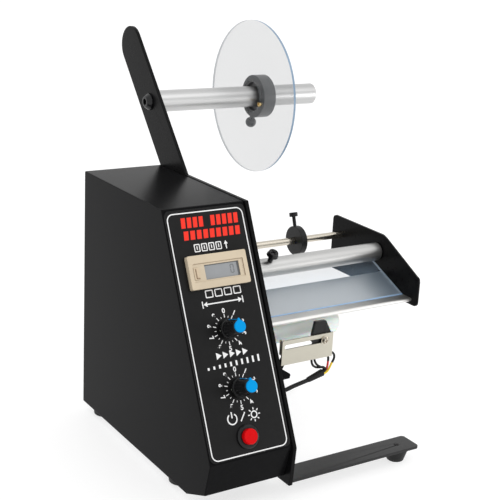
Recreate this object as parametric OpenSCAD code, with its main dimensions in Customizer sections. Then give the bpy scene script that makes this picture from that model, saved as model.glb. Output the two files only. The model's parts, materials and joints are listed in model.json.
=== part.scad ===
// Desktop label dispenser: housing with sloping panel, side plate with leaning arm,
// roll shaft, dispensing bed with peel plate, and the drive inside the housing.
// X runs along the shafts, away from the housing. Y runs to the back. Z is up.

/* [Housing] */
// Width of the housing without the side plate
house_w = 68; // [66:0.5:70]
// Sheet thickness of the cover
cover_t = 1.5; // [1:0.1:2]
// Side plate thickness
plate_t = 3; // [2.5:0.5:3]

/* [Roll shaft] */
// Diameter of the roll shaft
roll_d = 18; // [16:0.5:20]
// Free length of the roll shaft
roll_len = 161; // [140:1:180]
// Diameter of the clear roll disc
disc_d = 131; // [110:1:140]
// Thickness of the clear roll disc
disc_t = 2.2; // [2:0.1:3]

/* [Dispensing bed] */
// Gap between the side plate and the right end plate
bed_w = 150; // [148:1:156]
// Diameter of the guide rod
rod_d = 6; // [5:0.5:7]
// Diameter of the guide tube
tube_d = 15; // [13:0.5:16]
// Diameter of the drive and pinch rollers
roller_d = 12; // [11:0.1:12]

/* [Controls] */
// Width of the counter bezel
counter_w = 48; // [46:1:50]
// Height of the counter bezel along the panel
counter_h = 24; // [23:1:25]
// Height of the dial knobs above the panel
knob_h = 19; // [16:1:22]

/* [Hidden] */
$fn = 64;

px0 = house_w;            // inner face of the side plate
px1 = house_w + plate_t;  // outer face of the side plate
xr = px1 + bed_w;         // inner face of the right plate
ztop = 204;               // top of the housing
zbot = 6;                 // underside of the housing
yback = 207.5;            // back of the housing
pc = [0, 42];             // panel's lower edge
pb = [79.7, 204];         // panel's upper edge
ptilt = atan2(pb[0] - pc[0], pb[1] - pc[1]);
plen = norm(pb - pc);
roll_y = 230; roll_z = 252.2;
arm_r = 16; arm_y = 267; arm_z = 293.8; arm_a = 48.4;
rod_y = 154.5; rod_z = 141.4;
tube_y = 106; tube_z = 139.6;
drv_y = 91.2; drv_z = 86.9;
pin_y = 82; pin_z = 95.1;
mot_y = drv_y + 28; mot_z = drv_z;
tk_y = 175; tk_z = 56;
piv_y = 110; piv_z = 104;
ctr_x = 34; ctr_s = 133;
knob_x = 33; knob1_s = 90.4; knob2_s = 48.5; btn_s = 14.3;
sheet_a = 23.03;
disc_x = 167.5;
col_x = disc_x + disc_t; col_t = 12; col_r = 18.5;
gc_x = 172; gc_t = 5.6; gc_r = 12.4; gc_a = -18;
brk_y = 60; brk_z0 = 75.8; brk_z1 = 95.8; slot_z = 90.5;
sens_x = 136.7;

// Everything is drawn with the housing's left front at the corner of the work
// space and then moved so that the origin is the middle of the footprint.
module at() translate([-(px1 + roll_len) / 2, -(roll_y + disc_d / 2 - 2) / 2, 0]) children();
// Cylinder along X
module cx(r, x0, x1, y, z, f = 64) translate([x0, y, z]) rotate([0, 90, 0]) cylinder(r = r, h = x1 - x0, $fn = f);
// Cone along X
module conex(r0, r1, x0, x1, y, z) translate([x0, y, z]) rotate([0, 90, 0]) cylinder(r1 = r0, r2 = r1, h = x1 - x0);
// Side profile (Y, Z) stretched along X
module yz(x0, x1) translate([x0, 0, 0]) rotate([90, 0, 90]) linear_extrude(x1 - x0) children();
// Panel frame: X stays, Y runs up the panel, Z stands off its face
module panel() translate([0, pc[0], pc[1]]) rotate([90 - ptilt, 0, 0]) children();
// Flat rectangle with round corners, centred
module rrect(w, h, r) union() {
  square([w - 2 * r, h], center = true);
  square([w, h - 2 * r], center = true);
  for (i = [-1, 1], j = [-1, 1]) translate([i * (w / 2 - r), j * (h / 2 - r)]) circle(r, $fn = 32);
}
module box(a, b) translate(a) cube(b - a);
// Polygon with round corners: circles of radius r sit at each inset corner
function unit(v) = v / norm(v);

// Tube swept along points, closed at both ends
function sweep_ring(p, d, r, n, a) =
  let (u = unit(cross(d, a)), v = cross(d, u))
  [for (i = [0:n - 1]) p + r * (cos(360 * i / n) * u + sin(360 * i / n) * v)];
module sweep(p, r, n = 8, ref = [0, 1, 0]) {
  m = len(p);
  d = [for (i = [0:m - 1]) unit(p[min(i + 1, m - 1)] - p[max(i - 1, 0)])];
  pts = [for (i = [0:m - 1]) each sweep_ring(p[i], d[i], r, n, ref)];
  faces = concat([[for (k = [0:n - 1]) k]], [[for (k = [0:n - 1]) (m - 1) * n + n - 1 - k]],
    [for (i = [0:m - 2], k = [0:n - 1]) [i * n + k, (i + 1) * n + k, (i + 1) * n + (k + 1) % n, i * n + (k + 1) % n]]);
  polyhedron(points = pts, faces = [for (f = faces) [for (j = [len(f) - 1:-1:0]) f[j]]]);
}
// Smooth curve through hand-set points
function crom(a, b, c, d, t) = 0.5 * ((2 * b) + (c - a) * t + (2 * a - 5 * b + 4 * c - d) * t * t + (3 * b - a - 3 * c + d) * t * t * t);
function smooth(p, k) = let (m = len(p)) concat([for (i = [0:m - 2], j = [0:k - 1])
  crom(p[max(i - 1, 0)], p[i], p[i + 1], p[min(i + 2, m - 1)], j / k)], [p[m - 1]]);

// Involute gear outline, module m, z teeth, bl = backlash angle taken off each flank
function inv(a) = tan(a) * 180 / PI - a;
function half_tooth(r, m, z, bl) = let (rb = m * z / 2 * cos(20), rr = max(r, rb + 0.001))
  90 / z - bl + inv(20) - inv(acos(rb / rr));
function gear_pts(m, z, bl) = let (ra = m * z / 2 + 0.9 * m, rf = m * z / 2 - 1.2 * m,
    rb = max(rf, m * z / 2 * cos(20) + 0.01))
  [for (i = [0:z - 1]) let (c = i * 360 / z) each concat(
    [rf * [cos(c - half_tooth(rb, m, z, bl)), sin(c - half_tooth(rb, m, z, bl))]],
    [for (k = [0:5]) let (r = rb + (ra - rb) * k / 5, h = half_tooth(r, m, z, bl)) r * [cos(c - h), sin(c - h)]],
    [for (k = [5:-1:0]) let (r = rb + (ra - rb) * k / 5, h = half_tooth(r, m, z, bl)) r * [cos(c + h), sin(c + h)]],
    [rf * [cos(c + half_tooth(rb, m, z, bl)), sin(c + half_tooth(rb, m, z, bl))]])];

// ---- plates and housing ----
module arm_outline() {
  u = [cos(arm_a), sin(arm_a)];
  n = [-sin(arm_a), cos(arm_a)];
  t = [arm_y, arm_z];
  f = t + arm_r * n;
  b = t - arm_r * n;
  kf = (f[1] - ztop - 0.5) / u[1];
  kb = (b[0] - yback) / u[0];
  polygon([f, f - kf * u, f - (kf + 20) * u, [yback, 150], b - kb * u, b]);
}
module side_plate() color([0.06, 0.06, 0.065]) at() difference() {
  union() {
    yz(px0, px1) polygon([[-2, 41], [-1, 28], [0.5, 10], [24, 10], [31, zbot], [yback, zbot],
      [yback, 202.7], [180, ztop + 0.5], [78, ztop + 0.5]]);
    yz(px0, px1) arm_outline();
    cx(arm_r, px0, px1, arm_y, arm_z, 96);
  }
  cx(4.2, px0 - 1, px1 + 1, roll_y, roll_z);
  cx(2.1, px0 - 1, px1 + 1, rod_y, rod_z);
  cx(2.1, px0 - 1, px1 + 1, tube_y, tube_z);
  cx(6.5, px0 - 1, px1 + 1, drv_y, drv_z);
  cx(6.5, px0 - 1, px1 + 1, tk_y, tk_z);
  cx(3.02, px0 - 1, px1 + 1, piv_y, piv_z);
  cx(2.02, px0 - 1, px1 + 1, 122, 126);
  cx(4, px0 - 1, px1 + 1, 80, 49);
  for (p = m4_left) cx(2.1, px0 - 1, px1 + 1, p[0], p[1]);
  for (p = m3_left) cx(1.6, px0 - 1, px1 + 1, p[0], p[1]);
  for (p = m4_right) cx(2.1, px0 - 1, px1 + 1, p[0], p[1]);
}
// screws whose heads lie inside the housing (into the foot strips)
m4_left = [[12, 22], [20, 22], [168, 22], [177, 22]];
// screws whose heads lie inside the housing (into peel plate and sensor arm)
m3_left = [[93, 114.8], [49, 73], [56, 73]];
// screws from the right side into the cover's tabs, the base and the motor posts
m4_right = [[116, 196], [57.5, 145.2], [186, 14], [198, 160], [75, 62], [145, 112], [136, 44]];

outer = [[31, zbot], [6, 16.5], pc, pb, [yback, ztop]];
function nrm(a, b) = let (d = unit(b - a)) [d[1], -d[0]];
function inset(v, n1, n2, t) = v + t * (n1 + n2) / (1 + n1 * n2);
module cover_profile() polygon(concat([[yback, zbot]], outer));
module cover_inside() polygon([[yback + 1, zbot - 1], [31.3, zbot - 1], [31.3, zbot + cover_t],
  inset(outer[1], nrm(outer[0], outer[1]), nrm(outer[1], outer[2]), cover_t),
  inset(outer[2], nrm(outer[1], outer[2]), nrm(outer[2], outer[3]), cover_t),
  inset(outer[3], nrm(outer[2], outer[3]), [0, -1], cover_t), [yback + 1, ztop - cover_t]]);
module housing_cover() color([0.07, 0.07, 0.075]) at() difference() {
  union() {
    difference() {
      yz(0, px0 - 0.05) cover_profile();
      yz(cover_t, px0 + 1) cover_inside();
    }
    // tabs for the side plate screws
    box([px0 - 6, 110, 190], [px0 - 0.05, 122, ztop - 1]);
    panel() translate([px0 - 6, 112, -11]) cube([5.95, 12, 10]);
    // corner blocks for the rear panel screws
    box([1, 196, 190], [10, 206 - 0.02, ztop - 1]);
    box([1, 196, 14], [10, 206 - 0.02, 24]);
    // posts for the circuit board
    for (p = board_holes) cx(3, 1, 6, p[0], p[1], 32);
  }
  for (p = board_holes) cx(1.52, 2.2, 7, p[0], p[1], 32);
  panel() {
    translate([ctr_x - 22.6, ctr_s - 11.2, -20]) cube([45.2, 22.4, 40]);
    for (s = [knob1_s, knob2_s]) translate([knob_x, s, -20]) cylinder(r = 3.6, h = 40);
    translate([knob_x, btn_s, -20]) cylinder(r = 6.3, h = 40);
  }
  cx(2.02, px0 - 7, px0 + 1, 116, 196);
  cx(2.02, px0 - 7, px0 + 1, 57.5, 145.2);
  for (z = [196, 19]) translate([5.5, 209, z]) rotate([90, 0, 0]) cylinder(r = 1.52, h = 12);
}
board_holes = [[102, 124], [178, 124], [102, 184], [178, 184]];

module base_plate() color([0.55, 0.56, 0.57]) at() difference() {
  union() {
    box([cover_t, 31.3, zbot], [px0 - 0.05, 205.95, zbot + 1.5]);
    box([px0 - 6, 180, zbot + 1], [px0 - 0.05, 192, 20]);
    for (p = xf_feet) translate([p[0], p[1], zbot + 1]) cylinder(r = 4, h = 2.5, $fn = 32);
  }
  cx(2.02, px0 - 20, px0 + 1, 186, 14);
  for (p = feet_house) translate([p[0], p[1], 0]) cylinder(r = 2.1, h = 20);
}
feet_house = [[12.6, 60], [12.6, 190], [56, 60], [56, 190]];
xf_feet = [[17, 129], [41, 129], [17, 169], [41, 169]];

module rear_panel() color([0.07, 0.07, 0.075]) at() difference() {
  union() {
    box([cover_t + 0.05, 206, zbot + 0.05], [px0 - 0.05, yback, ztop - cover_t - 0.05]);
    box([px0 - 6, 190, 150], [px0 - 0.05, 207, 170]);
  }
  box([px0 - 8, 189, 148], [px0 - 1.6, 206 - 0.001, 172]);
  box([20.4, 200, 22.4], [47.6, 212, 49.6]);
  cx(2.02, px0 - 8, px0 + 1, 198, 160);
  for (z = [196, 19]) translate([5.5, 209, z]) rotate([90, 0, 0]) cylinder(r = 1.6, h = 12);
  // cooling slots
  for (i = [0:7]) box([16, 200, 90 + 8 * i], [52, 212, 93 + 8 * i]);
}

module label_panel() color([0.09, 0.09, 0.09]) at() panel() difference() {
  translate([33.8, 90, 0]) linear_extrude(1) rrect(66.2, 177.6, 4);
  translate([ctr_x - 22.6, ctr_s - 11.2, -2]) cube([45.2, 22.4, 6]);
  for (s = [knob1_s, knob2_s]) translate([knob_x, s, -2]) cylinder(r = 3.6, h = 6);
  translate([knob_x, btn_s, -2]) cylinder(r = 6.3, h = 6);
}

// ---- controls ----
module counter_case() color([0.72, 0.66, 0.55]) at() panel() translate([ctr_x, ctr_s, 0]) difference() {
  union() {
    translate([0, 0, 1]) linear_extrude(4) rrect(counter_w, counter_h, 1.2);
    translate([-22.3, -10.9, -38]) cube([44.6, 21.8, 39.5]);
  }
  // display window, reset key pocket, recessed face
  translate([-11.4, -6, 2]) cube([28.4, 10.6, 4]);
  translate([-20.7, -5.2, 0.6]) cube([4.4, 8.6, 6]);
  translate([-20.9, -7, 4.5]) cube([41.6, 13, 1]);
}
module counter_window() color([0.5, 0.55, 0.5]) at() panel() translate([ctr_x, ctr_s, 0])
  translate([-11.35, -5.95, 2.05]) cube([28.3, 10.5, 1.6]);
module counter_button() color([0.45, 0.42, 0.36]) at() panel() translate([ctr_x, ctr_s, 0])
  translate([-18.5, -0.9, 1.8]) linear_extrude(3.4) rrect(4.2, 8.4, 0.5);

module pot() {
  difference() {
    union() {
      translate([0, 0, -11.5]) cylinder(r = 8.2, h = 10);
      translate([0, 0, -2]) cylinder(r = 3.5, h = 6.4);
      translate([0, 0, 1]) cylinder(r = 5.8, h = 2.2, $fn = 6);
      translate([-6, -13, -9]) cube([12, 6, 1.5]);
    }
    translate([0, 0, -8]) cylinder(r = 3.05, h = 20);
  }
}
module potentiometers() color([0.4, 0.42, 0.35]) at() panel() for (s = [knob1_s, knob2_s]) translate([knob_x, s, 0]) pot();
module knob() {
  difference() {
    union() {
      translate([0, 0, 3.7]) cylinder(r = 6.9, h = 1.9);
      translate([0, 0, 5.5]) cylinder(r1 = 6.3, r2 = 4.9, h = knob_h - 5.5);
      translate([-0.5, 0, 5.5]) cube([1, 6.1, 5]);
    }
    translate([0, 0, 3]) cylinder(r = 4, h = 5);
    translate([0, 0, knob_h - 2]) cylinder(r = 3.2, h = 5);
  }
  // stem that turns in the potentiometer's bush
  translate([0, 0, -7.9]) cylinder(r = 3, h = 17);
}
module knob_cap() {
  translate([0, 0, knob_h - 1.9]) cylinder(r = 3.15, h = 2);
  translate([0, 0, knob_h + 0.02]) cylinder(r = 4.3, h = 1.4);
  translate([0, 0, knob_h + 0.02]) linear_extrude(1.2) polygon([[-1.6, 3.6], [1.6, 3.6], [0.35, 6], [-0.35, 6]]);
}
module length_knob() color([0.03, 0.03, 0.03]) at() panel() translate([knob_x, knob1_s, 0]) knob();
module length_knob_cap() color([0.0, 0.55, 0.95]) at() panel() translate([knob_x, knob1_s, 0]) knob_cap();
module speed_knob() color([0.03, 0.03, 0.03]) at() panel() translate([knob_x, knob2_s, 0]) knob();
module speed_knob_cap() color([0.0, 0.55, 0.95]) at() panel() translate([knob_x, knob2_s, 0]) knob_cap();

module power_button_bezel() color([0.03, 0.03, 0.03]) at() panel() translate([knob_x, btn_s, 0]) difference() {
  union() {
    translate([0, 0, 1]) cylinder(r = 8.6, h = 1.2);
    translate([0, 0, 2.2]) cylinder(r1 = 8.6, r2 = 7.6, h = 0.9);
    translate([0, 0, -24]) cylinder(r = 6.2, h = 25.5);
    translate([0, 0, -4.5]) cylinder(r = 9, h = 2.6, $fn = 6);
  }
  translate([0, 0, -6]) cylinder(r = 5.73, h = 20);
}
module power_button() color([0.85, 0.05, 0.08]) at() panel() translate([knob_x, btn_s, 0]) union() {
  translate([0, 0, -3.6]) cylinder(r = 5.65, h = 9);
  translate([0, 0, 5.4]) cylinder(r1 = 5.65, r2 = 5.1, h = 0.9);
}

// ---- electrics ----
module control_board() color([0.05, 0.35, 0.15]) at() difference() {
  union() {
    box([6.05, 96, 118], [7.65, 184, 190]);
    box([7.6, 104, 128], [22, 118, 142]);
    box([7.6, 150, 130], [24, 166, 146]);
    box([7.6, 124, 176], [18, 164, 187]);
    for (y = [127, 139]) cx(5, 7.6, 26, y, 161, 32);
    for (i = [0:4]) box([7.6, 100, 150 + 6 * i], [15, 109, 154 + 6 * i]);
    box([7.6, 170, 150], [10, 178, 168]);
  }
  for (p = board_holes) cx(1.6, 2, 12, p[0], p[1], 32);
}
module transformer() color([0.45, 0.42, 0.38]) at() union() {
  box([11, 132, zbot + 3.6], [46, 166, 44]);
  box([15, 126, 14], [42, 172, 40]);
  box([12, 124, zbot + 3.52], [46, 174, zbot + 4.7]);
}
module mains_inlet() color([0.05, 0.05, 0.05]) at() union() { inlet_body(); inlet_blades(); }
module inlet_body() difference() {
  union() {
    box([20.5, 183, 22.5], [47.5, 208, 49.5]);
    translate([34, 209.5, 36]) rotate([90, 0, 0]) linear_extrude(2) rrect(34, 33, 2);
  }
  // plug well, and the fuse drawer's pocket below it
  box([22.5, 190, 31.5], [45.5, 212, 47.5]);
  box([28, 186, 23.9], [40, 212, 29.1]);
}
// contact blades in the plug well
module inlet_blades() for (b = [[27, 37.4], [41, 37.4], [34, 42]]) box([b[0] - 1, 189.5, b[1] - 2], [b[0] + 1, 203, b[1] + 2]);
module fuse_drawer() color([0.03, 0.03, 0.03]) at() union() {
  box([28.1, 187, 24], [39.9, 209.2, 29]);
  box([27, 209.6, 23.4], [41, 210.6, 29.6]);
  box([28.1, 209, 24], [39.9, 210, 29]);
}

// ---- drive ----
module gear_motor() color([0.6, 0.6, 0.6]) at() union() {
  cx(17, 6, 34, mot_y, mot_z);
  cx(18, 34, 48, mot_y, mot_z);
  cx(3, 48, 60.2, mot_y, mot_z);
  cx(4, 3.6, 6, mot_y, mot_z);
  for (s = [-1, 1]) box([2.6, mot_y - 1, mot_z + s * 9 - 2], [6.2, mot_y + 1, mot_z + s * 9 + 2]);
}
mount_posts = [[75, 62], [145, 112], [136, 44]];
module motor_mount() color([0.62, 0.63, 0.65]) at() difference() {
  union() {
    yz(48.02, 50) polygon([[67, 56], [63, 64], [63, 77], [73, 96], [97, 108],
      [139, 118], [151, 118], [151, 106], [144, 38], [130, 38], [101, 66], [83, 55]]);
    for (p = mount_posts) cx(4, 49.5, px0, p[0], p[1]);
  }
  cx(3.4, 40, 52, mot_y, mot_z);
  cx(6.5, 40, 52, drv_y, drv_z);
  for (p = mount_posts) cx(2.02, px0 - 11, px0 + 1, p[0], p[1]);
}
module motor_pinion() color([0.85, 0.75, 0.4]) at() translate([52.4, mot_y, mot_z]) rotate([90, 0, 90])
  difference() {
    linear_extrude(6.4) rotate(180 + 10) polygon(gear_pts(1, 18, 0.35));
    translate([0, 0, -1]) cylinder(r = 3.04, h = 9);
  }
module drive_gear() color([0.9, 0.9, 0.85]) at() difference() {
  union() {
    translate([52.2, drv_y, drv_z]) rotate([90, 0, 90]) linear_extrude(6.8) polygon(gear_pts(1, 38, 0.2));
    cx(9, 58.9, 66, drv_y, drv_z);
    cx(10, 59.5, 66, drv_y, drv_z);
    cx(12, 60.2, 61.2, drv_y, drv_z);
    cx(12, 65.2, 66, drv_y, drv_z);
  }
  cx(4.01, 50, 68, drv_y, drv_z);
  for (i = [0:5]) rotate_x(drv_y, drv_z, 60 * i) cx(3.2, 51, 59.4, drv_y + 13.6, drv_z);
}
module rotate_x(y, z, a) translate([0, y, z]) rotate([a, 0, 0]) translate([0, -y, -z]) children();
module drive_shaft() color([0.75, 0.75, 0.77]) at() union() {
  cx(4, 45.6, 170, drv_y, drv_z);
  conex(4, 3.4, 170, 170.8, drv_y, drv_z);
}
module drive_roller() color([0.88, 0.87, 0.83]) at() difference() {
  union() {
    cx(roller_d / 2, 78.6, 168.8, drv_y, drv_z);
    conex(roller_d / 2, roller_d / 2 - 0.6, 168.8, 169.4, drv_y, drv_z);
    conex(roller_d / 2 - 0.6, roller_d / 2, 78, 78.6, drv_y, drv_z);
  }
  cx(4.01, 70, 180, drv_y, drv_z);
}
belt_a = atan2(tk_z - drv_z, tk_y - drv_y);
function belt_pts(r, n = 24) = concat(
  [for (i = [0:n]) [drv_y, drv_z] + r * [cos(belt_a + 90 + 180 * i / n), sin(belt_a + 90 + 180 * i / n)]],
  [for (i = [0:n]) [tk_y, tk_z] + r * [cos(belt_a - 90 + 180 * i / n), sin(belt_a - 90 + 180 * i / n)]]);
module drive_belt() color([0.05, 0.05, 0.05]) at() yz(61.45, 64.95) difference() {
  polygon(belt_pts(11.3));
  polygon(belt_pts(10.06));
}
module take_up_pulley() color([0.9, 0.9, 0.85]) at() difference() {
  union() {
    cx(10, 60.2, 66, tk_y, tk_z);
    cx(12, 60.2, 61.2, tk_y, tk_z);
    cx(12, 65.2, 66, tk_y, tk_z);
  }
  cx(4.01, 50, 68, tk_y, tk_z);
}
module take_up_spindle() color([0.7, 0.7, 0.72]) at() difference() {
  union() {
    cx(4, 57.5, 74, tk_y, tk_z);
    cx(24, 73.4, 75, tk_y, tk_z, 96);
    cx(8, 74.5, 147.4, tk_y, tk_z);
    conex(8, 7.4, 147.4, 148, tk_y, tk_z);
  }
  // grooves and end seats for the wire clip
  for (s = [-1, 1]) translate([75, tk_y, tk_z + s * 8.4]) rotate([0, 90, 0]) cylinder(r = 1.32, h = 80, $fn = 32);
}
module liner_clip() color([0.8, 0.8, 0.82]) at() union() {
  for (s = [-1, 1]) cx(1.25, 77, 152, tk_y, tk_z + s * 8.4, 32);
  translate([152, tk_y, tk_z - 8.4]) cylinder(r = 1.25, h = 16.8, $fn = 32);
  for (s = [-1, 1]) translate([152, tk_y, tk_z + s * 8.4]) sphere(r = 1.25, $fn = 32);
}
module bush(x, y, z) difference() {
  union() { cx(6.48, x, x + 4.6, y, z); cx(9, x, x + 1.6, y, z); }
  cx(4.05, x - 1, x + 6, y, z);
}
module shaft_bushes() color([0.75, 0.6, 0.35]) at() union() {
  bush(px0 - 1.62, drv_y, drv_z);
  bush(px0 - 1.62, tk_y, tk_z);
  bush(46.4, drv_y, drv_z);
}

// ---- pinch lever ----
module pinch_lever() color([0.5, 0.51, 0.53]) at() difference() {
  union() {
    cx(6.5, 73, 77, piv_y, piv_z);
    cx(5.2, 73, 77, pin_y, pin_z);
    yz(73, 77) polygon([[piv_y + 1, piv_z - 6.2], [pin_y + 1, pin_z - 5], [pin_y - 2, pin_z + 4.6], [piv_y - 2, piv_z + 6.2]]);
    yz(73, 77) polygon([[piv_y - 2, piv_z + 6.2], [piv_y, piv_z - 5], [126, 104], [126, 111]]);
    // fixed axle of the pinch roller
    cx(2.5, 76, 164.3, pin_y, pin_z);
    cx(3.6, 164.4, 165.2, pin_y, pin_z, 32);
    cx(2.5, 163.6, 164.6, pin_y, pin_z);
  }
  cx(3.05, 70, 80, piv_y, piv_z);
  cx(1.2, 70, 80, 122, 107.4);
}
module pinch_roller() color([0.9, 0.89, 0.85]) at() difference() {
  union() {
    cx(roller_d / 2, 78.2, 163.2, pin_y, pin_z);
    conex(roller_d / 2, roller_d / 2 - 0.6, 163.2, 163.8, pin_y, pin_z);
  }
  cx(2.56, 70, 180, pin_y, pin_z);
}
module pinch_spring() color([0.7, 0.7, 0.72]) at() union() {
  coil = [for (i = [0:96]) [79.3 + 2.4 * cos(i * 30), 122 + 2.4 * sin(i * 30), 110.5 + i * 0.12]];
  tail = [[74.6, 122, 107.4], [77.4, 122, 107.4], [78.8, 122, 107.7], [80.2, 122, 108.6], [81.4, 122, 109.6]];
  top = [[81.1, 122, 122.2], [80, 122, 122.7], [79.2, 122, 123.2]];
  sweep(concat(tail, coil, top), 0.4, 6, [0, 0, 1]);
}
module pinch_pins() color([0.75, 0.75, 0.77]) at() union() {
  difference() {
    union() {
      cx(3, px0, 77.4, piv_y, piv_z);
      cx(5, 77.1, 78.2, piv_y, piv_z);
      cx(5, px0 - 1.2, px0 - 0.02, piv_y, piv_z);
      cx(3, px0 - 1, px0 + 1, piv_y, piv_z);
    }
    translate([77.9, piv_y - 3.4, piv_z - 0.5]) cube([1, 6.8, 1]);
  }
  cx(2, px0, 81, 122, 126);
  cx(2.9, 80.6, 81.6, 122, 126);
  cx(3.4, px0 - 1.2, px0 - 0.02, 122, 126);
  cx(2, px0 - 1, px0 + 1, 122, 126);
}

// ---- roll shaft ----
module roll_shaft() color([0.8, 0.8, 0.8]) at() difference() {
  union() {
    cx(roll_d / 2, px1, px1 + roll_len - 0.8, roll_y, roll_z, 96);
    conex(roll_d / 2, roll_d / 2 - 0.8, px1 + roll_len - 0.8, px1 + roll_len, roll_y, roll_z);
  }
  cx(4.02, px1 - 1, px1 + 21, roll_y, roll_z);
  cx(6.8, px1 + 30, px1 + roll_len + 1, roll_y, roll_z);
}
module roll_bolt() color([0.05, 0.05, 0.05]) at() difference() {
  union() {
    cx(4, px0 - 1, px1 + 20, roll_y, roll_z);
    conex(4.4, 7, px0 - 4.4, px0 - 1.2, roll_y, roll_z);
    cx(7, px0 - 1.2, px0, roll_y, roll_z);
  }
  cx(2.9, px0 - 5, px0 - 1.6, roll_y, roll_z, 6);
}
module roll_disc() color([0.8, 0.9, 0.95, 0.4]) at() difference() {
  cx(disc_d / 2, disc_x, disc_x + disc_t, roll_y, roll_z, 128);
  cx(13.3, disc_x - 1, disc_x + 5, roll_y, roll_z, 96);
  for (s = [0, 180]) rotate_x(roll_y, roll_z, s) cx(1.3, disc_x - 1, disc_x + 5, roll_y - 14.8, roll_z - 4.4, 32);
}
module roll_collar() color([0.06, 0.06, 0.065]) at() difference() {
  cx(col_r, col_x, col_x + col_t, roll_y, roll_z, 96);
  cx(roll_d / 2 + 0.06, col_x - 1, col_x + 20, roll_y, roll_z, 96);
  cx(12.4, col_x - 1, col_x + 3, roll_y, roll_z, 96);
  for (s = [0, 180]) rotate_x(roll_y, roll_z, s) cx(1.27, col_x - 1, col_x + 7, roll_y - 14.8, roll_z - 4.4, 32);
  thumb_axis() cylinder(r = 2.05, h = 30);
}
// frame whose Z points down and back out of the collar
module thumb_axis() translate([col_x + col_t / 2, roll_y, roll_z]) rotate([180 + 23, 0, 0]) children();
module roll_thumb_screw() color([0.05, 0.05, 0.055]) at() thumb_axis() union() {
  translate([0, 0, 9.3]) cylinder(r = 2, h = 10);
  translate([0, 0, 18.6]) cylinder(r = 2.5, h = 2);
  translate([0, 0, 27]) sphere(r = 4.7, $fn = 48);
  translate([0, 0, 18.6]) cylinder(r = 2.2, h = 6.4);
}
module disc_screws() color([0.8, 0.65, 0.35]) at() union() {
  for (s = [0, 180]) rotate_x(roll_y, roll_z, s) difference() {
    union() {
      cx(1.25, disc_x - 0.2, col_x + 5, roll_y - 14.8, roll_z - 4.4, 32);
      cx(1.9, disc_x - 1.4, disc_x - 0.02, roll_y - 14.8, roll_z - 4.4, 32);
    }
    cx(0.9, disc_x - 2, disc_x - 0.6, roll_y - 14.8, roll_z - 4.4, 6);
  }
}

// ---- dispensing bed ----
module guide_rod() color([0.85, 0.8, 0.7]) at() difference() {
  cx(rod_d / 2, px1, xr, rod_y, rod_z);
  cx(2.02, px1 - 1, px1 + 9, rod_y, rod_z);
  cx(2.02, xr - 9, xr + 1, rod_y, rod_z);
}
module guide_collar() color([0.06, 0.06, 0.065]) at() difference() {
  cx(gc_r, gc_x - gc_t / 2, gc_x + gc_t / 2, rod_y, rod_z, 96);
  cx(rod_d / 2 + 0.06, gc_x - 9, gc_x + 9, rod_y, rod_z);
  translate([gc_x, rod_y, rod_z]) rotate([gc_a, 0, 0]) cylinder(r = 1.55, h = 20);
}
module guide_thumb_screw() color([0.05, 0.05, 0.055]) at() translate([gc_x, rod_y, rod_z]) rotate([gc_a, 0, 0]) union() {
  translate([0, 0, 3.3]) cylinder(r = 1.5, h = 17);
  translate([0, 0, 20.2]) cylinder(r = 3.4, h = 3.7);
}
module guide_tube() color([0.8, 0.8, 0.8]) at() difference() {
  union() {
    cx(tube_d / 2, px1, xr - 1.2, tube_y, tube_z, 96);
    conex(tube_d / 2, tube_d / 2 - 1.2, xr - 1.2, xr, tube_y, tube_z);
  }
  cx(2.02, px1 - 1, px1 + 9, tube_y, tube_z);
  cx(2.02, xr - 9, xr + 1, tube_y, tube_z);
  cx(5.5, px1 + 12, xr - 12, tube_y, tube_z);
  tube_axis() cylinder(r = 2.05, h = 20);
}
module tube_axis() translate([110, tube_y, tube_z]) rotate([29, 0, 0]) children();
module tube_screw() color([0.05, 0.05, 0.05]) at() tube_axis() difference() {
  union() {
    translate([0, 0, 5.8]) cylinder(r = 2, h = 8);
    translate([0, 0, 13.6]) cylinder(r1 = 4.9, r2 = 3.8, h = 3.4);
  }
  for (a = [0, 90]) rotate(a) translate([-2.6, -0.5, 15.6]) cube([5.2, 1, 3]);
}
module right_plate() color([0.06, 0.06, 0.065]) at() difference() {
  union() {
    yz(xr, xr + 2) polygon([[165.5, 107.3], [169.5, 111.3], [169.5, 151.5], [165.5, 155.8], [101.5, 155.2],
      [97, 153.6], [54, 131.6], [52, 128.4], [52, 111], [55.6, 107.3]]);
    for (p = [[165.5, 111.3, 4], [165.5, 151.7, 4], [55.6, 110.9, 3.6], [55.7, 128.9, 3.4]]) cx(p[2], xr, xr + 2, p[0], p[1], 32);
  }
  cx(2.1, xr - 1, xr + 3, rod_y, rod_z);
  cx(2.1, xr - 1, xr + 3, tube_y, tube_z);
  cx(1.6, xr - 1, xr + 3, 93, 114.8);
}
function up_sheet(y) = 113.3 + (y - 69) * tan(sheet_a);
module guide_sheet() color([0.75, 0.85, 0.95, 0.4]) at() yz(px1 + 0.3, xr - 0.3)
  polygon([[69, up_sheet(69)], [125, up_sheet(125)], [125 + 2 * sin(sheet_a), up_sheet(125) - 2 * cos(sheet_a)],
    [69 + 2 * sin(sheet_a), up_sheet(69) - 2 * cos(sheet_a)]]);
module peel_plate() color([0.78, 0.76, 0.72]) at() difference() {
  union() {
    yz(px1 + 0.1, xr - 0.1) polygon([[99, 123.86], [69.5, 111.32], [68.7, 113.2], [60, 113.2], [60, 110], [70.6, 110], [99.6, 122.5]]);
    cx(1.6, px1 + 0.1, xr - 0.1, 60, 111.6);
    yz(px1 + 0.02, px1 + 1.6) polygon([[87, 110.4], [99.2, 110.4], [99.2, 123], [87, 117.6]]);
    yz(xr - 1.6, xr - 0.02) polygon([[87, 110.4], [99.2, 110.4], [99.2, 123], [87, 117.6]]);
  }
  cx(1.52, px1 - 1, px1 + 3, 93, 114.8);
  cx(1.52, xr - 3, xr + 1, 93, 114.8);
}

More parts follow.
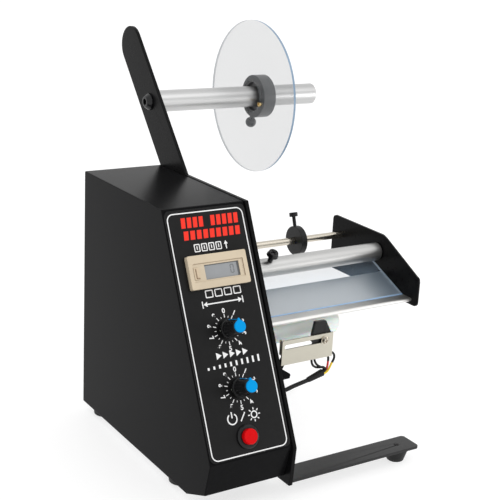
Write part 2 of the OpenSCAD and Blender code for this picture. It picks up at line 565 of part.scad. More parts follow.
// ---- sensor ----
module sensor_bracket() color([0.75, 0.72, 0.66]) at() difference() {
  union() {
    box([97, brk_y, brk_z0], [145, brk_y + 1.5, brk_z1]);
    // return along the left end
    box([97, brk_y, 84], [98.3, brk_y + 4, brk_z1]);
  }
  box([101.1, brk_y - 1, slot_z - 1.9], [139.1, brk_y + 2, slot_z + 1.9]);
  for (x = [101.1, 139.1]) translate([x, brk_y + 2, slot_z]) rotate([90, 0, 0]) cylinder(r = 1.9, h = 4, $fn = 32);
}
// arm that carries the sensor bracket, screwed to the side plate
module sensor_arm() color([0.06, 0.06, 0.065]) at() difference() {
  union() {
    translate([0, brk_y + 3, 0]) rotate([90, 0, 0]) linear_extrude(1.48)
      polygon([[px1 + 1, 66], [px1 + 1, 79], [96, 79], [99, 83], [112, 83], [112, 77], [102, 77], [99.3, 72.2],
        [107, 67], [107.4, 65.4], [106.4, 64], [100, 62.8]]);
    box([px1 + 0.02, 44, 66], [px1 + 1.8, brk_y + 3, 80]);
  }
  for (y = [49, 56]) cx(1.52, px1 - 1, px1 + 3, y, 73, 32);
}
module sensor_head() color([0.04, 0.04, 0.04]) at() difference() {
  union() {
    translate([0, brk_y + 4.6, 0]) rotate([90, 0, 0]) linear_extrude(3)
      polygon([[128.3, 88.2], [143, 88.2], [143.7, 95.8], [138.3, 105.8], [128.2, 106.3], [126.1, 96], [126, 90.2]]);
    box([130.6, brk_y + 4.5, 79], [142.4, brk_y + 8.5, 91.5]);
  }
  translate([sens_x, brk_y + 12, slot_z]) rotate([90, 0, 0]) cylinder(r = 1.78, h = 12, $fn = 32);
}
module sensor_screw() color([0.8, 0.78, 0.74]) at() translate([sens_x, brk_y, slot_z]) rotate([90, 0, 0]) difference() {
  union() {
    translate([0, 0, 0.05]) cylinder(r = 3.5, h = 0.6);
    translate([0, 0, 0.6]) cylinder(r1 = 2.8, r2 = 2, h = 1.9);
    translate([0, 0, -9]) cylinder(r = 1.75, h = 10);
  }
  for (a = [0, 90]) rotate(a) translate([-1.6, -0.35, 1.4]) cube([3.2, 0.7, 3]);
}
wire_r = 0.9;
wires = [
  [[131.6, 66.4, 78.7], [130.9, 66.3, 76], [129.9, 66, 72.5], [131.4, 66.1, 68.2], [134.8, 66.4, 65.6], [138.6, 66.55, 64.7], [141.7, 66.55, 64.4],
   [142.85, 66.55, 63.95], [143.25, 66.55, 62.95], [142.8, 66.55, 61.95], [141.8, 66.55, 61.5], [140.75, 66.55, 61.2], [139.4, 66.55, 60.8]],
  [[134.4, 66.4, 78.7], [133.6, 66.3, 76], [132.8, 66, 72.4], [134.8, 65.6, 68.4], [138, 65, 66], [141.4, 64.65, 64.6],
   [142.85, 64.65, 63.95], [143.25, 64.65, 62.95], [142.8, 64.65, 61.95], [141.8, 64.65, 61.5], [140.75, 64.65, 61.2], [139.4, 64.65, 60.8]],
  [[137.6, 67.4, 78.6], [138.4, 67.4, 76.6], [141.6, 67.3, 75.4], [145, 67, 74.2], [146.8, 66.8, 71.6], [146.8, 66.7, 67.7], [146.4, 66.6, 64],
   [145.3, 66.55, 61.5], [143.8, 66.55, 60.15], [142.3, 66.55, 59.7], [141.25, 66.55, 59.4], [139.9, 66.55, 59]],
  [[140.8, 65.6, 78.6], [141.8, 65.6, 76.9], [145.2, 65.6, 76.3], [149.2, 65.6, 76], [151.5, 65.6, 73.6], [151.6, 65.5, 70.3], [149.2, 65.2, 66.4],
   [147.2, 64.8, 63.4], [145.6, 64.65, 61.3], [143.9, 64.65, 60.15], [142.3, 64.65, 59.7], [141.25, 64.65, 59.4], [139.9, 64.65, 59]]];
module sensor_wires() color([0.8, 0.1, 0.1]) at() for (w = wires) sweep(smooth(w, 3), wire_r, 8);
// tapered sleeve that gathers the wires onto the cable
module wire_sleeve() color([0.03, 0.03, 0.03]) at() translate([141, 65.6, 60.3]) rotate([0, -106, 0]) difference() {
  cylinder(r1 = 2.9, r2 = 2.15, h = 14);
  translate([0, 0, 11]) cylinder(r = 1.8, h = 4);
  translate([0, 0, -1]) cylinder(r = 2.4, h = 3.2);
}
cable_pts = [[129.3, 65.6, 56.9], [126.2, 65.6, 56], [120.2, 65.6, 54.9], [113, 65.8, 53.4], [106.4, 66, 51.7],
  [98, 68.2, 50.4], [90, 72.6, 49.4], [83, 77.4, 49], [77, 79.6, 49], [72, 80, 49], [66, 80, 49], [56, 80, 49],
  [44, 79, 49], [30, 78, 50], [18, 79, 56], [12, 83, 68],
  [11.4, 87, 86], [11.4, 92, 104], [11.4, 100, 114], [11.4, 107.6, 122], [11.4, 108, 127.4]];
module sensor_cable() color([0.03, 0.03, 0.03]) at() sweep(smooth(cable_pts, 3), 1.7, 8);
module cable_grommet() color([0.05, 0.05, 0.05]) at() difference() {
  union() { cx(3.95, px0 - 1.5, px1 + 1.5, 80, 49); cx(5.4, px0 - 1.5, px0 - 0.02, 80, 49); cx(5.4, px1 + 0.02, px1 + 1.5, 80, 49); }
  cx(1.82, px0 - 5, px1 + 5, 80, 49);
}

// ---- feet ----
module foot_strip(y0, y1, x1) union() {
  difference() {
    union() {
      box([px1 + 0.02, y0, 10], [x1 - 3, y1, 12.3]);
      box([px1 + 0.02, y0 + 3, 10], [x1, y1 - 3, 12.3]);
      for (y = [y0 + 3, y1 - 3]) translate([x1 - 3, y, 10]) cylinder(r = 3, h = 2.3, $fn = 32);
      box([px1 + 0.02, y0 + 3, 10], [px1 + 2, y1, 29]);
    }
    for (p = m4_left) if (p[0] > y0 && p[0] < y1) cx(2.02, px1 - 1, px1 + 4, p[0], p[1]);
    translate([x1 - 15, (y0 + y1) / 2, 5]) cylinder(r = 2.1, h = 10);
  }
}
module front_foot_strip() color([0.07, 0.07, 0.07]) at() foot_strip(3.3, 23.6, 194);
module rear_foot_strip() color([0.07, 0.07, 0.07]) at() foot_strip(161.3, 181.6, 181);
module foot(x, y, top) translate([x, y, 0]) union() {
  cylinder(r1 = top > 8 ? 6.6 : 9.4, r2 = top > 8 ? 9.8 : 10.2, h = top);
  translate([0, 0, top - 0.5]) cylinder(r = 2, h = 3);
}
module rubber_feet() color([0.05, 0.05, 0.05]) at() union() {
  foot(194 - 15, 13.45, 9.98);
  foot(181 - 15, 171.45, 9.98);
  for (p = feet_house) foot(p[0], p[1], zbot - 0.02);
}

// ---- screws: head at the origin, shank along +X ----
module screw(r, l, hr, hh) difference() {
  union() {
    translate([0, 0, -0.5]) cylinder(r = r, h = l + 0.5, $fn = 32);
    translate([0, 0, -hh]) cylinder(r1 = hr * 0.72, r2 = hr, h = hh, $fn = 32);
  }
  for (a = [0, 90]) rotate(a) translate([-hr * 0.45, -0.4, -hh - 1]) cube([hr * 0.9, 0.8, 1.9]);
}
module sx(x, y, z) translate([x, y, z]) rotate([0, 90, 0]) children();
module frame_screws() color([0.1, 0.1, 0.1]) at() union() {
  for (p = m4_left) sx(px0 - 0.02, p[0], p[1]) screw(2, 7, 3.8, 2.2);
  for (p = [[rod_y, rod_z], [tube_y, tube_z]]) sx(px0 - 0.02, p[0], p[1]) screw(2, 11, 3.8, 2.2);
  for (p = m4_right) sx(px1 + 0.02, p[0], p[1]) mirror([0, 0, 1]) screw(2, 7, 3.8, 2.2);
  for (p = [[rod_y, rod_z], [tube_y, tube_z]]) sx(xr + 2.02, p[0], p[1]) mirror([0, 0, 1]) screw(2, 10, 3.8, 2.2);
  for (p = m3_left) sx(px0 - 0.02, p[0], p[1]) screw(1.5, 5.4, 2.8, 1.8);
  sx(xr + 2.02, 93, 114.8) mirror([0, 0, 1]) screw(1.5, 4.4, 2.8, 1.8);
  for (z = [196, 19]) translate([5.5, yback + 0.02, z]) rotate([90, 0, 0]) screw(1.5, 8, 2.8, 1.8);
  for (p = board_holes) sx(7.7, p[0], p[1]) mirror([0, 0, 1]) screw(1.5, 5, 2.8, 1.8);
}

side_plate();
housing_cover();
base_plate();
rear_panel();
label_panel();
counter_case();
counter_window();
counter_button();
potentiometers();
length_knob();
length_knob_cap();
speed_knob();
speed_knob_cap();
power_button_bezel();
power_button();
control_board();
transformer();
mains_inlet();
fuse_drawer();
gear_motor();
motor_mount();
motor_pinion();
drive_gear();
drive_shaft();
drive_roller();
drive_belt();
take_up_pulley();
take_up_spindle();
liner_clip();
shaft_bushes();
pinch_lever();
pinch_roller();
pinch_spring();
pinch_pins();
roll_shaft();
roll_bolt();
roll_disc();
roll_collar();
roll_thumb_screw();
disc_screws();
guide_rod();
guide_collar();
guide_thumb_screw();
guide_tube();
tube_screw();
right_plate();
guide_sheet();
peel_plate();
sensor_arm();
sensor_bracket();
sensor_head();
sensor_screw();
sensor_wires();
wire_sleeve();
sensor_cable();
cable_grommet();
front_foot_strip();
rear_foot_strip();
rubber_feet();
frame_screws();
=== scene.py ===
import json
import math

import bmesh
import bpy
from mathutils import Matrix, Vector


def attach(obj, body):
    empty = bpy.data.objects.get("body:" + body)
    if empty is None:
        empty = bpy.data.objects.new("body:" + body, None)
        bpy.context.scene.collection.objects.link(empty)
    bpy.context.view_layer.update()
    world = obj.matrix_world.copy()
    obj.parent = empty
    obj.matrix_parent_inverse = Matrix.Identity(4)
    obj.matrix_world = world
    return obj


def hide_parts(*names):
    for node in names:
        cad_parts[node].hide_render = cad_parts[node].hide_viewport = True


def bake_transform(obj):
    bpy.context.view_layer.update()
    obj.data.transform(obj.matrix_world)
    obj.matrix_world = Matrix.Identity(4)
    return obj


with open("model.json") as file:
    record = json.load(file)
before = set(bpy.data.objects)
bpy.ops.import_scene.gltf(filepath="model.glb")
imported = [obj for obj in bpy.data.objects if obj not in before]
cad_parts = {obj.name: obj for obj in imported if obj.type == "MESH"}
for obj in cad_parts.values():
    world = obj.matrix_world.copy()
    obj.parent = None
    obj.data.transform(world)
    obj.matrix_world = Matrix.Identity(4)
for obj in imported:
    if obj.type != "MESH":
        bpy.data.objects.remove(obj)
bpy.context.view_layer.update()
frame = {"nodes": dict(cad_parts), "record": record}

N = frame["nodes"]
MM = 0.001


def W(x, y, z):
    """Machine coordinates in millimetres to the row frame in metres."""
    return Vector(((x - 116.0) * MM, (y - 146.75) * MM, z * MM))


TILT = math.atan2(79.7, 162.0)
ST, CT = math.sin(TILT), math.cos(TILT)


def PP(x, s, o=0.0):
    """A point of the sloping panel: x across, s up the panel, o off its face."""
    return W(x, s * ST - o * CT, 42.0 + s * CT + o * ST)


# ------------------------------------------------------------------ camera
yaw, pitch, roll = 0.5817, 0.2939, 0.0519
fwd = Vector((math.sin(yaw) * math.cos(pitch), math.cos(yaw) * math.cos(pitch), -math.sin(pitch)))
rgt = Vector((math.cos(yaw), -math.sin(yaw), 0.0))
up = rgt.cross(fwd)
r2 = math.cos(roll) * rgt + math.sin(roll) * up
u2 = -math.sin(roll) * rgt + math.cos(roll) * up
cam_data = bpy.data.cameras.new("camera")
cam = bpy.data.objects.new("camera", cam_data)
bpy.context.scene.collection.objects.link(cam)
cam.matrix_world = Matrix(
    (
        (r2.x, u2.x, -fwd.x, 0.0),
        (r2.y, u2.y, -fwd.y, 0.0),
        (r2.z, u2.z, -fwd.z, 0.0),
        (0.0, 0.0, 0.0, 1.0),
    )
)
cam.location = W(-360.96, -582.0, 405.55)
cam_data.sensor_width = 36.0
cam_data.lens = 1113.38 / 500.0 * 36.0
cam_data.shift_x = (250.0 - 248.12) / 500.0
cam_data.shift_y = (249.88 - 250.0) / 500.0
cam_data.clip_start = 0.01
cam_data.clip_end = 50.0
bpy.context.scene.camera = cam
bpy.context.scene.view_settings.view_transform = "Standard"


# --------------------------------------------------------------- materials
class Mat:
    """A small builder for procedural Principled materials in object space."""

    def __init__(self, name, base, rough=0.5, metal=0.0, **k):
        self.m = bpy.data.materials.new(name)
        self.m.use_nodes = True
        self.nt = self.m.node_tree
        self.b = self.nt.nodes["Principled BSDF"]
        self.m.diffuse_color = (*base[:3], 1.0)
        self.base = base
        self.b.inputs["Base Color"].default_value = (*base[:3], 1.0)
        self.b.inputs["Roughness"].default_value = rough
        self.b.inputs["Metallic"].default_value = metal
        for key, v in k.items():
            self.b.inputs[key].default_value = v
        self.co = self.node("ShaderNodeTexCoord")

    def node(self, kind, **k):
        n = self.nt.nodes.new(kind)
        for a, v in k.items():
            setattr(n, a, v)
        return n

    def link(self, a, b):
        self.nt.links.new(a, b)

    def noise(self, scale, detail=3.0, stretch=None, rough=0.5):
        n = self.node("ShaderNodeTexNoise")
        n.inputs["Scale"].default_value = scale
        n.inputs["Detail"].default_value = detail
        n.inputs["Roughness"].default_value = rough
        src = self.co.outputs["Object"]
        if stretch:
            mp = self.node("ShaderNodeMapping")
            mp.inputs["Scale"].default_value = stretch
            self.link(src, mp.inputs["Vector"])
            src = mp.outputs["Vector"]
        self.link(src, n.inputs["Vector"])
        return n.outputs["Fac"]

    def ramp(self, fac, stops):
        r = self.node("ShaderNodeValToRGB")
        els = r.color_ramp.elements
        els[0].position, els[0].color = stops[0][0], (*stops[0][1][:3], 1.0)
        els[1].position, els[1].color = stops[-1][0], (*stops[-1][1][:3], 1.0)
        for p, c in stops[1:-1]:
            e = els.new(p)
            e.color = (*c[:3], 1.0)
        self.link(fac, r.inputs["Fac"])
        return r.outputs["Color"]

    def colour(self, fac, stops):
        self.link(self.ramp(fac, stops), self.b.inputs["Base Color"])
        return self

    def vary(self, fac, amount=0.15):
        """Base colour a little darker and lighter with the noise."""
        a = [c * (1 - amount) for c in self.base[:3]]
        z = [min(1.0, c * (1 + amount)) for c in self.base[:3]]
        return self.colour(fac, [(0.3, a), (0.7, z)])

    def rough(self, fac, lo, hi):
        mr = self.node("ShaderNodeMapRange")
        mr.inputs["From Min"].default_value = 0.3
        mr.inputs["From Max"].default_value = 0.7
        mr.inputs["To Min"].default_value = lo
        mr.inputs["To Max"].default_value = hi
        self.link(fac, mr.inputs["Value"])
        self.link(mr.outputs["Result"], self.b.inputs["Roughness"])
        return self

    def bump(self, fac, strength=0.1, dist=0.0001):
        bp = self.node("ShaderNodeBump")
        bp.inputs["Strength"].default_value = strength
        bp.inputs["Distance"].default_value = dist
        self.link(fac, bp.inputs["Height"])
        self.link(bp.outputs["Normal"], self.b.inputs["Normal"])
        return self


def black_paint(name, base=(0.0052, 0.0052, 0.0056), lo=0.21, hi=0.25, grain=2200.0, strength=0.02, spec=0.034):
    k = Mat(name, base, 0.42)
    k.b.inputs["Specular IOR Level"].default_value = spec
    k.vary(k.noise(260.0, 4.0), 0.12)
    k.rough(k.noise(420.0, 4.0), lo, hi)
    k.bump(k.noise(grain, 2.0), strength, 0.00005)
    return k.m


def brushed(name, base, lo, hi, stretch=(6.0, 900.0, 900.0), amount=0.06):
    k = Mat(name, base, 0.3, 1.0)
    f = k.noise(1.0, 3.0, stretch)
    k.vary(f, amount)
    k.rough(f, lo, hi)
    k.bump(f, 0.06, 0.00002)
    return k.m


def plastic(name, base, lo, hi, grain=1800.0, strength=0.06, amount=0.06, **kw):
    k = Mat(name, base, 0.4, 0.0, **kw)
    k.vary(k.noise(45.0, 3.0), amount)
    k.rough(k.noise(120.0, 3.0), lo, hi)
    k.bump(k.noise(grain, 2.0), strength, 0.00004)
    return k.m


M = {}
M["black_paint"] = black_paint("black_powder_paint")
M["edge_paint"] = black_paint("black_plate_paint", (0.0045, 0.0045, 0.0048), 0.26, 0.34, spec=0.06)
M["strip_paint"] = black_paint("black_strip_paint", (0.012, 0.012, 0.0125), 0.3, 0.38, 2000.0, 0.05, spec=0.3)
M["grey_anodised"] = black_paint("grey_anodised", (0.05, 0.0505, 0.052), 0.3, 0.4, 2200.0, 0.04, spec=0.5)
M["collar_black"] = black_paint("collar_black", (0.008, 0.008, 0.008), 0.3, 0.4, 2200.0, 0.04, spec=0.22)
M["panel_black"] = black_paint("panel_film", (0.006, 0.006, 0.0062), 0.3, 0.38, 2600.0, 0.03, spec=0.16)
M["zinc_steel"] = brushed("zinc_steel", (0.52, 0.53, 0.54), 0.28, 0.4)
M["nickel_steel"] = brushed("warm_nickel", (0.6, 0.555, 0.475), 0.16, 0.26)
M["bracket_steel"] = brushed("zinc_sheet", (0.53, 0.505, 0.43), 0.36, 0.44, (90.0, 90.0, 90.0), 0.02)
M["polished_steel"] = brushed("polished_sheet", (0.74, 0.735, 0.715), 0.36, 0.42, (5.0, 700.0, 700.0), 0.02)
M["satin_aluminium"] = brushed("satin_aluminium", (0.55, 0.55, 0.548), 0.32, 0.4)
M["bright_tube"] = brushed("satin_tube", (0.52, 0.518, 0.51), 0.34, 0.42)
M["black_anodised"] = black_paint("black_anodised", (0.014, 0.014, 0.015), 0.24, 0.34, 2200.0, 0.04, spec=0.5)
M["black_steel"] = black_paint("black_oxide_steel", (0.008, 0.008, 0.009), 0.18, 0.28, 2400.0, 0.03, spec=0.35)
M["transformer_iron"] = black_paint("lacquered_iron", (0.12, 0.1, 0.085), 0.4, 0.6)
M["brass"] = brushed("brass", (0.7, 0.52, 0.24), 0.22, 0.34)
M["beige_plastic"] = plastic("cream_plastic", (0.56, 0.47, 0.345), 0.34, 0.44, **{"Specular IOR Level": 0.3})
M["grey_key"] = plastic("cream_key", (0.57, 0.46, 0.325), 0.35, 0.45, **{"Specular IOR Level": 0.3})
M["display_plastic"] = plastic("display_glass", (0.27, 0.28, 0.29), 0.12, 0.2, strength=0.01, **{"Specular IOR Level": 0.3})
M["black_plastic"] = plastic("black_plastic", (0.006, 0.006, 0.0065), 0.24, 0.34, **{"Specular IOR Level": 0.3})
M["blue_plastic"] = plastic("azure_plastic", (0.0, 0.28, 0.67), 0.3, 0.38, strength=0.02, amount=0.03, **{"Specular IOR Level": 0.06})
M["red_plastic"] = plastic("red_plastic", (0.58, 0.002, 0.004), 0.26, 0.34, strength=0.02, amount=0.05, **{"Specular IOR Level": 0.08})
M["white_plastic"] = plastic("white_nylon", (0.74, 0.73, 0.7), 0.4, 0.5)
M["component_grey"] = plastic("component_grey", (0.22, 0.24, 0.2), 0.35, 0.5)
M["board_green"] = plastic("board_green", (0.012, 0.13, 0.055), 0.25, 0.4)
M["roller_rubber"] = plastic("roller_rubber", (0.95, 0.93, 0.89), 0.42, 0.55)
for name_ in ("roller_rubber",):
    M[name_].node_tree.nodes["Principled BSDF"].inputs["Subsurface Weight"].default_value = 0.5
    M[name_].node_tree.nodes["Principled BSDF"].inputs["Subsurface Scale"].default_value = 0.012
M["black_rubber"] = plastic("black_rubber", (0.009, 0.009, 0.009), 0.45, 0.6, 900.0, 0.15, 0.12, **{"Specular IOR Level": 0.25})
M["wire_insulation"] = plastic("red_insulation", (0.72, 0.012, 0.01), 0.3, 0.4)
M["spring_steel"] = brushed("spring_steel", (0.62, 0.62, 0.64), 0.2, 0.3, (300.0, 300.0, 300.0))
M["print_white"] = plastic("white_print", (0.8, 0.8, 0.8), 0.45, 0.55, strength=0.01, amount=0.03, **{"Specular IOR Level": 0.2})
M["print_red"] = plastic("red_print", (0.82, 0.03, 0.014), 0.45, 0.55, strength=0.01, amount=0.03, **{"Specular IOR Level": 0.2})
M["yellow_wire"] = plastic("yellow_insulation", (0.85, 0.6, 0.02), 0.3, 0.4)
# brown painted shadow for the counter's grooves and beside its reset key
M["shade_brown"] = plastic("painted_shadow_brown", (0.2, 0.13, 0.075), 0.5, 0.6)
# dark grey of the display's segments, also used for the painted shade inside the window
M["digit_and_shade_dark"] = plastic("display_segment_and_shade", (0.09, 0.095, 0.1), 0.4, 0.5, strength=0.01)

# clear roll disc: acrylic, faintly scratched
k = Mat("clear_acrylic", (0.25, 0.265, 0.28), 0.06, 0.0, **{"Alpha": 0.2, "IOR": 1.45})
k.colour(k.noise(9.0, 3.0), [(0.3, (0.23, 0.245, 0.26)), (0.7, (0.27, 0.28, 0.29))])
k.rough(k.noise(50.0, 4.0), 0.04, 0.1)
M["clear_acrylic"] = k.m
# guide sheet: clear acrylic with a faint blue haze
k = Mat("clear_sheet", (0.28, 0.38, 0.49), 0.08, 0.0, **{"Alpha": 0.17, "IOR": 1.45})
k.colour(k.noise(14.0, 3.0, (1.0, 4.0, 4.0)), [(0.3, (0.26, 0.355, 0.46)), (0.7, (0.3, 0.405, 0.52))])
k.rough(k.noise(40.0, 3.0), 0.06, 0.12)
M["frosted_acrylic"] = k.m
# painted highlights and painted reflections for the rims of the clear pieces, where the light gathers
M["acrylic_edge_reflection"] = plastic("acrylic_edge_reflection", (0.2, 0.29, 0.4), 0.15, 0.25, strength=0.01)
M["rim_pale_highlight"] = plastic("rim_pale_highlight", (0.66, 0.68, 0.7), 0.2, 0.3, strength=0.01)
M["sheet_edge_blue_highlight"] = plastic("sheet_edge_blue_highlight", (0.3, 0.45, 0.66), 0.2, 0.3, strength=0.01)
M["sheet_edge_pale_highlight"] = plastic("sheet_edge_pale_highlight", (0.3, 0.37, 0.45), 0.2, 0.3, strength=0.01)


def wear(node, key):
    o = N[node]
    o.data.materials.clear()
    o.data.materials.append(M[key])


slots = {s["node"]: s["material_slot"] for s in frame["record"]["subparts"]}
for name, slot_name in slots.items():
    wear(name, slot_name)
wear("side_plate", "edge_paint")
wear("right_plate", "edge_paint")
wear("sensor_bracket", "bracket_steel")
wear("peel_plate", "polished_steel")
wear("guide_tube", "bright_tube")
wear("roll_collar", "grey_anodised")
wear("guide_collar", "collar_black")
wear("front_foot_strip", "strip_paint")
wear("rear_foot_strip", "strip_paint")

# ------------------------------------------------- smooth edges on CAD nodes
ng = bpy.data.node_groups.new("smooth_by_angle", "GeometryNodeTree")
ng.interface.new_socket(name="Geometry", in_out="INPUT", socket_type="NodeSocketGeometry")
ng.interface.new_socket(name="Geometry", in_out="OUTPUT", socket_type="NodeSocketGeometry")
gi = ng.nodes.new("NodeGroupInput")
go = ng.nodes.new("NodeGroupOutput")
ang = ng.nodes.new("GeometryNodeInputMeshEdgeAngle")
cmp_ = ng.nodes.new("FunctionNodeCompare")
cmp_.data_type = "FLOAT"
cmp_.operation = "GREATER_THAN"
cmp_.inputs["B"].default_value = math.radians(33)
f_all = ng.nodes.new("GeometryNodeSetShadeSmooth")
f_all.domain = "FACE"
f_edge = ng.nodes.new("GeometryNodeSetShadeSmooth")
f_edge.domain = "EDGE"
f_edge.inputs["Shade Smooth"].default_value = False
ng.links.new(ang.outputs[0], cmp_.inputs["A"])
ng.links.new(gi.outputs[0], f_all.inputs["Geometry"])
ng.links.new(f_all.outputs[0], f_edge.inputs["Geometry"])
ng.links.new(cmp_.outputs[0], f_edge.inputs["Selection"])
ng.links.new(f_edge.outputs[0], go.inputs[0])


def soften(o, width, segments=2, angle=38.0):
    """Weld the imported seams, round the edges a little, then shade smooth by angle."""
    if "custom_normal" in o.data.attributes:
        o.data.attributes.remove(o.data.attributes["custom_normal"])
    w = o.modifiers.new("weld", "WELD")
    w.merge_threshold = 0.000002
    if width:
        b = o.modifiers.new("edges", "BEVEL")
        b.width = width * MM
        b.segments = segments
        b.limit_method = "ANGLE"
        b.angle_limit = math.radians(angle)
        b.use_clamp_overlap = False
        b.miter_outer = "MITER_ARC"
    g = o.modifiers.new("smooth", "NODES")
    g.node_group = ng
    n = o.modifiers.new("level", "WEIGHTED_NORMAL")
    n.mode = "FACE_AREA"
    n.weight = 100
    n.keep_sharp = True


BEVEL = {
    "housing_cover": 0.9, "side_plate": 0.3, "right_plate": 0.25, "front_foot_strip": 0.3, "rear_foot_strip": 0.3,
    "rear_panel": 0.2, "label_panel": 0.2, "roll_collar": 0.4, "guide_collar": 0.35,
    "mains_inlet": 0.25, "sensor_bracket": 0.15, "sensor_head": 0.35, "roll_shaft": 0.15, "guide_tube": 0.1,
    "roll_bolt": 0.2, "base_plate": 0.1, "length_knob": 0.18, "speed_knob": 0.18, "length_knob_cap": 0.15,
    "speed_knob_cap": 0.15, "power_button": 0.12, "power_button_bezel": 0.15, "tube_screw": 0.15,
    "guide_thumb_screw": 0.12, "rubber_feet": 0.4, "sensor_arm": 0.2, "pinch_lever": 0.15, "fuse_drawer": 0.2,
}
for name, o in N.items():
    soften(o, BEVEL.get(name, 0.0))


# --------------------------------------------------------------- mesh tools
def obj_from(bm, name, mat, body, smooth=True, doubles=None):
    if doubles:
        bmesh.ops.remove_doubles(bm, verts=bm.verts, dist=doubles)
    bmesh.ops.recalc_face_normals(bm, faces=bm.faces)
    me = bpy.data.meshes.new(name)
    bm.to_mesh(me)
    bm.free()
    me.materials.append(M[mat])
    o = bpy.data.objects.new(name, me)
    bpy.context.scene.collection.objects.link(o)
    if smooth:
        g = o.modifiers.new("smooth", "NODES")
        g.node_group = ng
    if body:
        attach(o, body)
    return o


def prism(bm, pts, place, o0, o1):
    """A flat outline (counter-clockwise) as a thin closed prism; place maps (x, y, off)."""
    lo = [bm.verts.new(place(x, y, o0)) for x, y in pts]
    hi = [bm.verts.new(place(x, y, o1)) for x, y in pts]
    n = len(pts)
    bm.faces.new(hi)
    bm.faces.new(list(reversed(lo)))
    for i in range(n):
        j = (i + 1) % n
        bm.faces.new((lo[i], lo[j], hi[j], hi[i]))


def band(bm, outer, inner, place, o0, o1, closed=True):
    """A ring or strip between two outlines of the same length."""
    n = len(outer)
    v = [[bm.verts.new(place(*p, o)) for p in line] for line, o in ((outer, o0), (outer, o1), (inner, o1), (inner, o0))]
    for i in range(n if closed else n - 1):
        j = (i + 1) % n
        for a in range(4):
            b = (a + 1) % 4
            bm.faces.new((v[a][i], v[a][j], v[b][j], v[b][i]))
    if not closed:
        bm.faces.new([v[a][0] for a in range(4)])
        bm.faces.new([v[a][n - 1] for a in (3, 2, 1, 0)])


def stroke(bm, a, b, w, place, o0, o1):
    (ax, ay), (bx, by) = a, b
    d = Vector((bx - ax, by - ay)).normalized()
    nx, ny = -d.y * w / 2, d.x * w / 2
    prism(bm, [(ax - nx, ay - ny), (bx - nx, by - ny), (bx + nx, by + ny), (ax + nx, ay + ny)], place, o0, o1)


def arc(cx, cy, r, a0, a1, n=24):
    """Angles in degrees, clockwise from straight up."""
    out = []
    for i in range(n + 1):
        a = math.radians(a0 + (a1 - a0) * i / n)
        out.append((cx + r * math.sin(a), cy + r * math.cos(a)))
    return out


def arc_band(bm, cx, cy, r, w, a0, a1, place, o0, o1, n=24):
    full = abs(a1 - a0) >= 359.9
    outer, inner = arc(cx, cy, r + w / 2, a0, a1, n), arc(cx, cy, r - w / 2, a0, a1, n)
    if full:
        outer, inner = outer[:-1], inner[:-1]
    band(bm, outer, inner, place, o0, o1, full)


def rounded(x0, y0, x1, y1, r, n=8):
    pts = []
    for cx, cy, a0 in ((x1 - r, y0 + r, -90), (x1 - r, y1 - r, 0), (x0 + r, y1 - r, 90), (x0 + r, y0 + r, 180)):
        for i in range(n + 1):
            a = math.radians(a0 + 90.0 * i / n)
            pts.append((cx + r * math.cos(a), cy + r * math.sin(a)))
    return pts


def tube(bm, pts, r, sides=12, caps=True):
    """A round tube along points, with frames carried along so that it doesn't twist."""
    pts = [Vector(p) for p in pts]
    n = len(pts)
    rings = []
    prev = None
    for i in range(n):
        d = (pts[min(i + 1, n - 1)] - pts[max(i - 1, 0)]).normalized()
        if prev is None:
            a = Vector((0, 1, 0)) if abs(d.y) < 0.9 else Vector((1, 0, 0))
            u = d.cross(a).normalized()
        else:
            u = (prev - d * prev.dot(d)).normalized()
        prev = u
        v = d.cross(u)
        rr = r[i] if isinstance(r, (list, tuple)) else r
        rings.append([bm.verts.new(pts[i] + rr * (math.cos(2 * math.pi * k / sides) * u + math.sin(2 * math.pi * k / sides) * v)) for k in range(sides)])
    for i in range(n - 1):
        for k in range(sides):
            j = (k + 1) % sides
            bm.faces.new((rings[i][k], rings[i][j], rings[i + 1][j], rings[i + 1][k]))
    if caps:
        bm.faces.new(list(reversed(rings[0])))
        bm.faces.new(rings[-1])


def crom(p, k):
    """Smooth curve through points, the same as the one that the leads follow in the frame."""
    p = [Vector(q) for q in p]
    m = len(p)
    out = []
    for i in range(m - 1):
        a, b, c, d = p[max(i - 1, 0)], p[i], p[i + 1], p[min(i + 2, m - 1)]
        for j in range(k):
            t = j / k
            out.append(0.5 * (2 * b + (c - a) * t + (2 * a - 5 * b + 4 * c - d) * t * t + (3 * b - a - 3 * c + d) * t * t * t))
    out.append(p[-1])
    return out


T0, T1 = 1.0, 1.07  # print lies on the panel film


def digit(bm, ch, x, y, size, turn, place, o0, o1):
    """One numeral from the built-in font, centred on (x, y), turned clockwise by turn degrees."""
    c = bpy.data.curves.new("numeral_tmp", "FONT")
    c.body = ch
    c.size = 1.0
    c.align_x = "CENTER"
    c.align_y = "CENTER"
    c.extrude = 0.5
    c.offset = 0.028
    t = bpy.data.objects.new("numeral_tmp", c)
    bpy.context.scene.collection.objects.link(t)
    bpy.context.view_layer.update()
    ev = t.evaluated_get(bpy.context.evaluated_depsgraph_get())
    me = ev.to_mesh()
    a = math.radians(turn)
    xs = [v.co.x for v in me.vertices]
    ys = [v.co.y for v in me.vertices]
    mx, my = (min(xs) + max(xs)) / 2, (min(ys) + max(ys)) / 2
    vs = []
    for v in me.vertices:
        px, py = (v.co.x - mx) * size, (v.co.y - my) * size
        qx, qy = px * math.cos(a) + py * math.sin(a), -px * math.sin(a) + py * math.cos(a)
        vs.append(bm.verts.new(place(x + qx, y + qy, o0 if v.co.z < 0 else o1)))
    for f in me.polygons:
        bm.faces.new([vs[i] for i in f.vertices])
    ev.to_mesh_clear()
    bpy.data.objects.remove(t)
    bpy.data.curves.remove(c)


